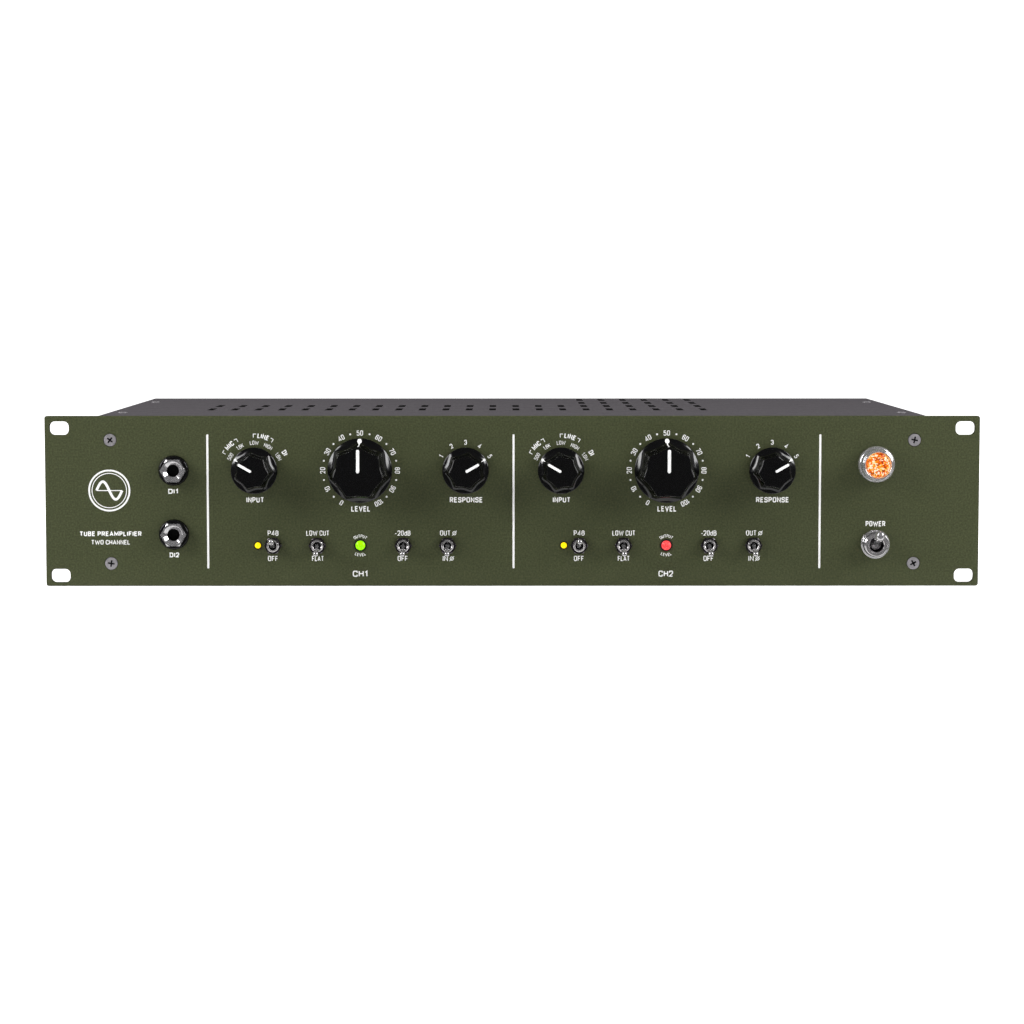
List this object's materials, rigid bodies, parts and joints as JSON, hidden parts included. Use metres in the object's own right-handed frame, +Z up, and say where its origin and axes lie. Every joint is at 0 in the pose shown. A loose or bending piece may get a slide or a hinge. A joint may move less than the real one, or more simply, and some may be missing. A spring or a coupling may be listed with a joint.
{
  "type": "tube microphone preamplifier",
  "caption": "Rack-width tube microphone preamplifier with fluted knobs, miniature toggle switches, jacks, a pilot lamp and a slotted cover.",
  "frame": {"origin": "bottom centre of the whole unit's bounding box", "axes": "+X to the right along the front panel as seen from the front, +Y from the front panel to the rear, +Z up"},
  "size_m": [0.4826, 0.2834, 0.0881],
  "materials": {
    "olive_paint": "fine speckled powder coat, satin",
    "black_steel": "satin dark grey paint",
    "zinc": "satin",
    "phenolic": "glossy",
    "nickel": "bright nickel plate",
    "chrome": "polished",
    "black_plastic": "satin",
    "amber_jewel": "clear amber, lit",
    "green_lens": "diffused, lit",
    "red_lens": "diffused, lit",
    "yellow_lens": "diffused, lit",
    "circuit_board": "solder mask",
    "tube_glass": "clear",
    "core_steel": "laminated core steel",
    "wound_core": "wound core under polyester tape"
  },
  "bodies": {
    "case": {"chassis_tray": "black_steel", "front_panel": "olive_paint", "input_switch_ch1": "zinc", "input_switch_ch2": "zinc", "input_transformer_1": "nickel", "input_transformer_2": "nickel", "instrument_jack_1": "black_plastic", "instrument_jack_2": "black_plastic", "jack_nut_1": "chrome", "jack_nut_2": "chrome", "level_led_ch1": "green_lens", "level_led_ch2": "red_lens", "level_pot_ch1": "zinc", "level_pot_ch2": "zinc", "line_output_plug_1": "black_plastic", "line_output_plug_2": "black_plastic", "main_board": "circuit_board", "mains_inlet": "black_plastic", "mic_input_socket_1": "black_plastic", "mic_input_socket_2": "black_plastic", "output_transformer_1": "core_steel", "output_transformer_2": "core_steel", "panel_screw_bottom_left": "zinc", "panel_screw_bottom_right": "zinc", "panel_screw_top_left": "zinc", "panel_screw_top_right": "zinc", "phantom_led_ch1": "yellow_lens", "phantom_led_ch2": "yellow_lens", "pilot_lamp_holder": "chrome", "pilot_lamp_jewel": "amber_jewel", "power_switch": "nickel", "power_switch_nut": "chrome", "power_transformer": "wound_core", "response_switch_ch1": "zinc", "response_switch_ch2": "zinc", "toggle_bank_ch1": "nickel", "toggle_bank_ch2": "nickel", "top_cover": "black_steel", "tube_1": "tube_glass", "tube_2": "tube_glass", "tube_3": "tube_glass", "tube_4": "tube_glass"},
    "fuse_drawer": {"fuse_drawer": "black_plastic"},
    "input_knob_ch1": {"input_knob_ch1": "phenolic"},
    "input_knob_ch2": {"input_knob_ch2": "phenolic"},
    "input_latch_1": {"input_latch_1": "nickel"},
    "input_latch_2": {"input_latch_2": "nickel"},
    "level_knob_ch1": {"level_knob_ch1": "phenolic"},
    "level_knob_ch2": {"level_knob_ch2": "phenolic"},
    "low_cut_lever_ch1": {"low_cut_lever_ch1": "chrome"},
    "low_cut_lever_ch2": {"low_cut_lever_ch2": "chrome"},
    "pad_lever_ch1": {"pad_lever_ch1": "chrome"},
    "pad_lever_ch2": {"pad_lever_ch2": "chrome"},
    "phantom_lever_ch1": {"phantom_lever_ch1": "chrome"},
    "phantom_lever_ch2": {"phantom_lever_ch2": "chrome"},
    "polarity_lever_ch1": {"polarity_lever_ch1": "chrome"},
    "polarity_lever_ch2": {"polarity_lever_ch2": "chrome"},
    "power_lever": {"power_lever": "chrome"},
    "response_knob_ch1": {"response_knob_ch1": "phenolic"},
    "response_knob_ch2": {"response_knob_ch2": "phenolic"}
  },
  "joints": [
    {"name": "input_knob_turn_ch1", "type": "hinge", "parent": "case", "child": "input_knob_ch1", "pos_m": [-0.1332, -0.11795, 0.06], "axis": [0, 1, 0], "range_deg": [0, 120]},
    {"name": "level_knob_turn_ch1", "type": "hinge", "parent": "case", "child": "level_knob_ch1", "pos_m": [-0.0787, -0.11795, 0.06], "axis": [0, 1, 0], "range_deg": [-150, 150]},
    {"name": "response_knob_turn_ch1", "type": "hinge", "parent": "case", "child": "response_knob_ch1", "pos_m": [-0.0242, -0.11795, 0.06], "axis": [0, 1, 0], "range_deg": [-120, 0]},
    {"name": "phantom_toggle_ch1", "type": "hinge", "parent": "case", "child": "phantom_lever_ch1", "pos_m": [-0.1238, -0.11945, 0.0211], "axis": [1, 0, 0], "range_deg": [0, 28]},
    {"name": "low_cut_toggle_ch1", "type": "hinge", "parent": "case", "child": "low_cut_lever_ch1", "pos_m": [-0.1009, -0.11945, 0.0211], "axis": [1, 0, 0], "range_deg": [-28, 0]},
    {"name": "pad_toggle_ch1", "type": "hinge", "parent": "case", "child": "pad_lever_ch1", "pos_m": [-0.0565, -0.11945, 0.0211], "axis": [1, 0, 0], "range_deg": [-28, 0]},
    {"name": "polarity_toggle_ch1", "type": "hinge", "parent": "case", "child": "polarity_lever_ch1", "pos_m": [-0.0336, -0.11945, 0.0211], "axis": [1, 0, 0], "range_deg": [-28, 0]},
    {"name": "input_knob_turn_ch2", "type": "hinge", "parent": "case", "child": "input_knob_ch2", "pos_m": [0.0251, -0.11795, 0.06], "axis": [0, 1, 0], "range_deg": [0, 120]},
    {"name": "level_knob_turn_ch2", "type": "hinge", "parent": "case", "child": "level_knob_ch2", "pos_m": [0.0796, -0.11795, 0.06], "axis": [0, 1, 0], "range_deg": [-150, 150]},
    {"name": "response_knob_turn_ch2", "type": "hinge", "parent": "case", "child": "response_knob_ch2", "pos_m": [0.1341, -0.11795, 0.06], "axis": [0, 1, 0], "range_deg": [-120, 0]},
    {"name": "phantom_toggle_ch2", "type": "hinge", "parent": "case", "child": "phantom_lever_ch2", "pos_m": [0.0345, -0.11945, 0.0211], "axis": [1, 0, 0], "range_deg": [0, 28]},
    {"name": "low_cut_toggle_ch2", "type": "hinge", "parent": "case", "child": "low_cut_lever_ch2", "pos_m": [0.0574, -0.11945, 0.0211], "axis": [1, 0, 0], "range_deg": [-28, 0]},
    {"name": "pad_toggle_ch2", "type": "hinge", "parent": "case", "child": "pad_lever_ch2", "pos_m": [0.1018, -0.11945, 0.0211], "axis": [1, 0, 0], "range_deg": [-28, 0]},
    {"name": "polarity_toggle_ch2", "type": "hinge", "parent": "case", "child": "polarity_lever_ch2", "pos_m": [0.1247, -0.11945, 0.0211], "axis": [1, 0, 0], "range_deg": [-28, 0]},
    {"name": "power_toggle", "type": "hinge", "parent": "case", "child": "power_lever", "pos_m": [0.1876, -0.12095, 0.0218], "axis": [1, 0, 0], "range_deg": [0, 38]},
    {"name": "input_latch_press_1", "type": "slide", "parent": "case", "child": "input_latch_1", "axis": [0, -1, 0], "range_m": [0, 0.0015], "stiffness_N_per_m": 1500, "springref_m": -0.0008},
    {"name": "input_latch_press_2", "type": "slide", "parent": "case", "child": "input_latch_2", "axis": [0, -1, 0], "range_m": [0, 0.0015], "stiffness_N_per_m": 1500, "springref_m": -0.0008},
    {"name": "fuse_drawer_pull", "type": "slide", "parent": "case", "child": "fuse_drawer", "axis": [0, 1, 0], "range_m": [0, 0.022]}
  ]
}
